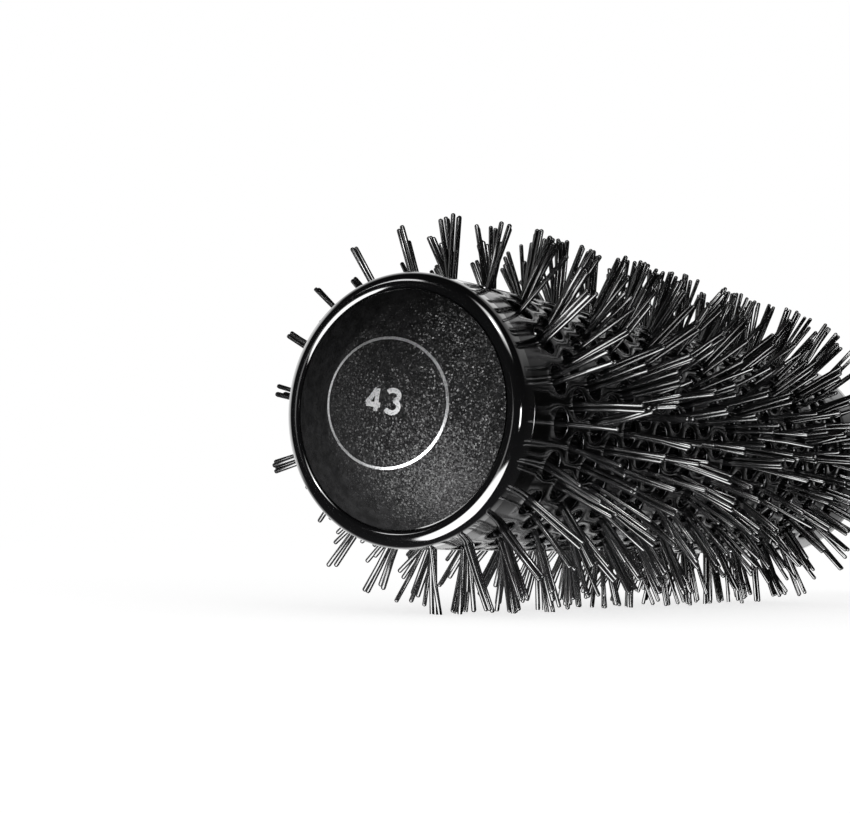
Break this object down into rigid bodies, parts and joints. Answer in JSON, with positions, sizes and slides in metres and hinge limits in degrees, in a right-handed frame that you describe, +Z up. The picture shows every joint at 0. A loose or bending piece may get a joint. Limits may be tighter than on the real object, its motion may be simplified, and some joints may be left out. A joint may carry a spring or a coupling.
{
  "type": "round thermal hair brush",
  "caption": "Round blow-dry hair brush with a domed tip cap, a perforated metal barrel, nylon tufts through its holes and a soft-touch handle.",
  "frame": {"origin": "centre of the flat end face of the handle, on the brush's axis", "axes": "+Y along the axis from the tip cap to the handle's end, +Z up when the brush lies on its bristles"},
  "size_m": [0.0638, 0.2923, 0.0637],
  "materials": {
    "black_plastic": "moulded black plastic, glossy rim and finely grained satin face",
    "coated_barrel": "glossy black coated aluminium",
    "steel_wire": "plain drawn steel wire",
    "nylon": "glossy black nylon filament with rounded tips",
    "satin_plastic": "satin black moulded plastic",
    "pin_metal": "blackened steel",
    "soft_touch": "soft-touch matt black"
  },
  "bodies": {
    "root": {"tip_cap": "black_plastic", "barrel_tube": "coated_barrel", "stem_wire_a": "steel_wire", "stem_wire_b": "steel_wire", "bristle_section_1": "nylon", "bristle_section_2": "nylon", "bristle_section_3": "nylon", "bristle_section_4": "nylon", "rear_plug": "satin_plastic", "fixing_pin_1": "pin_metal", "fixing_pin_2": "pin_metal", "fixing_pin_3": "pin_metal", "rear_collar": "black_plastic", "handle_core": "satin_plastic", "handle_grip": "soft_touch", "handle_end_cap": "black_plastic"}
  },
  "joints": []
}
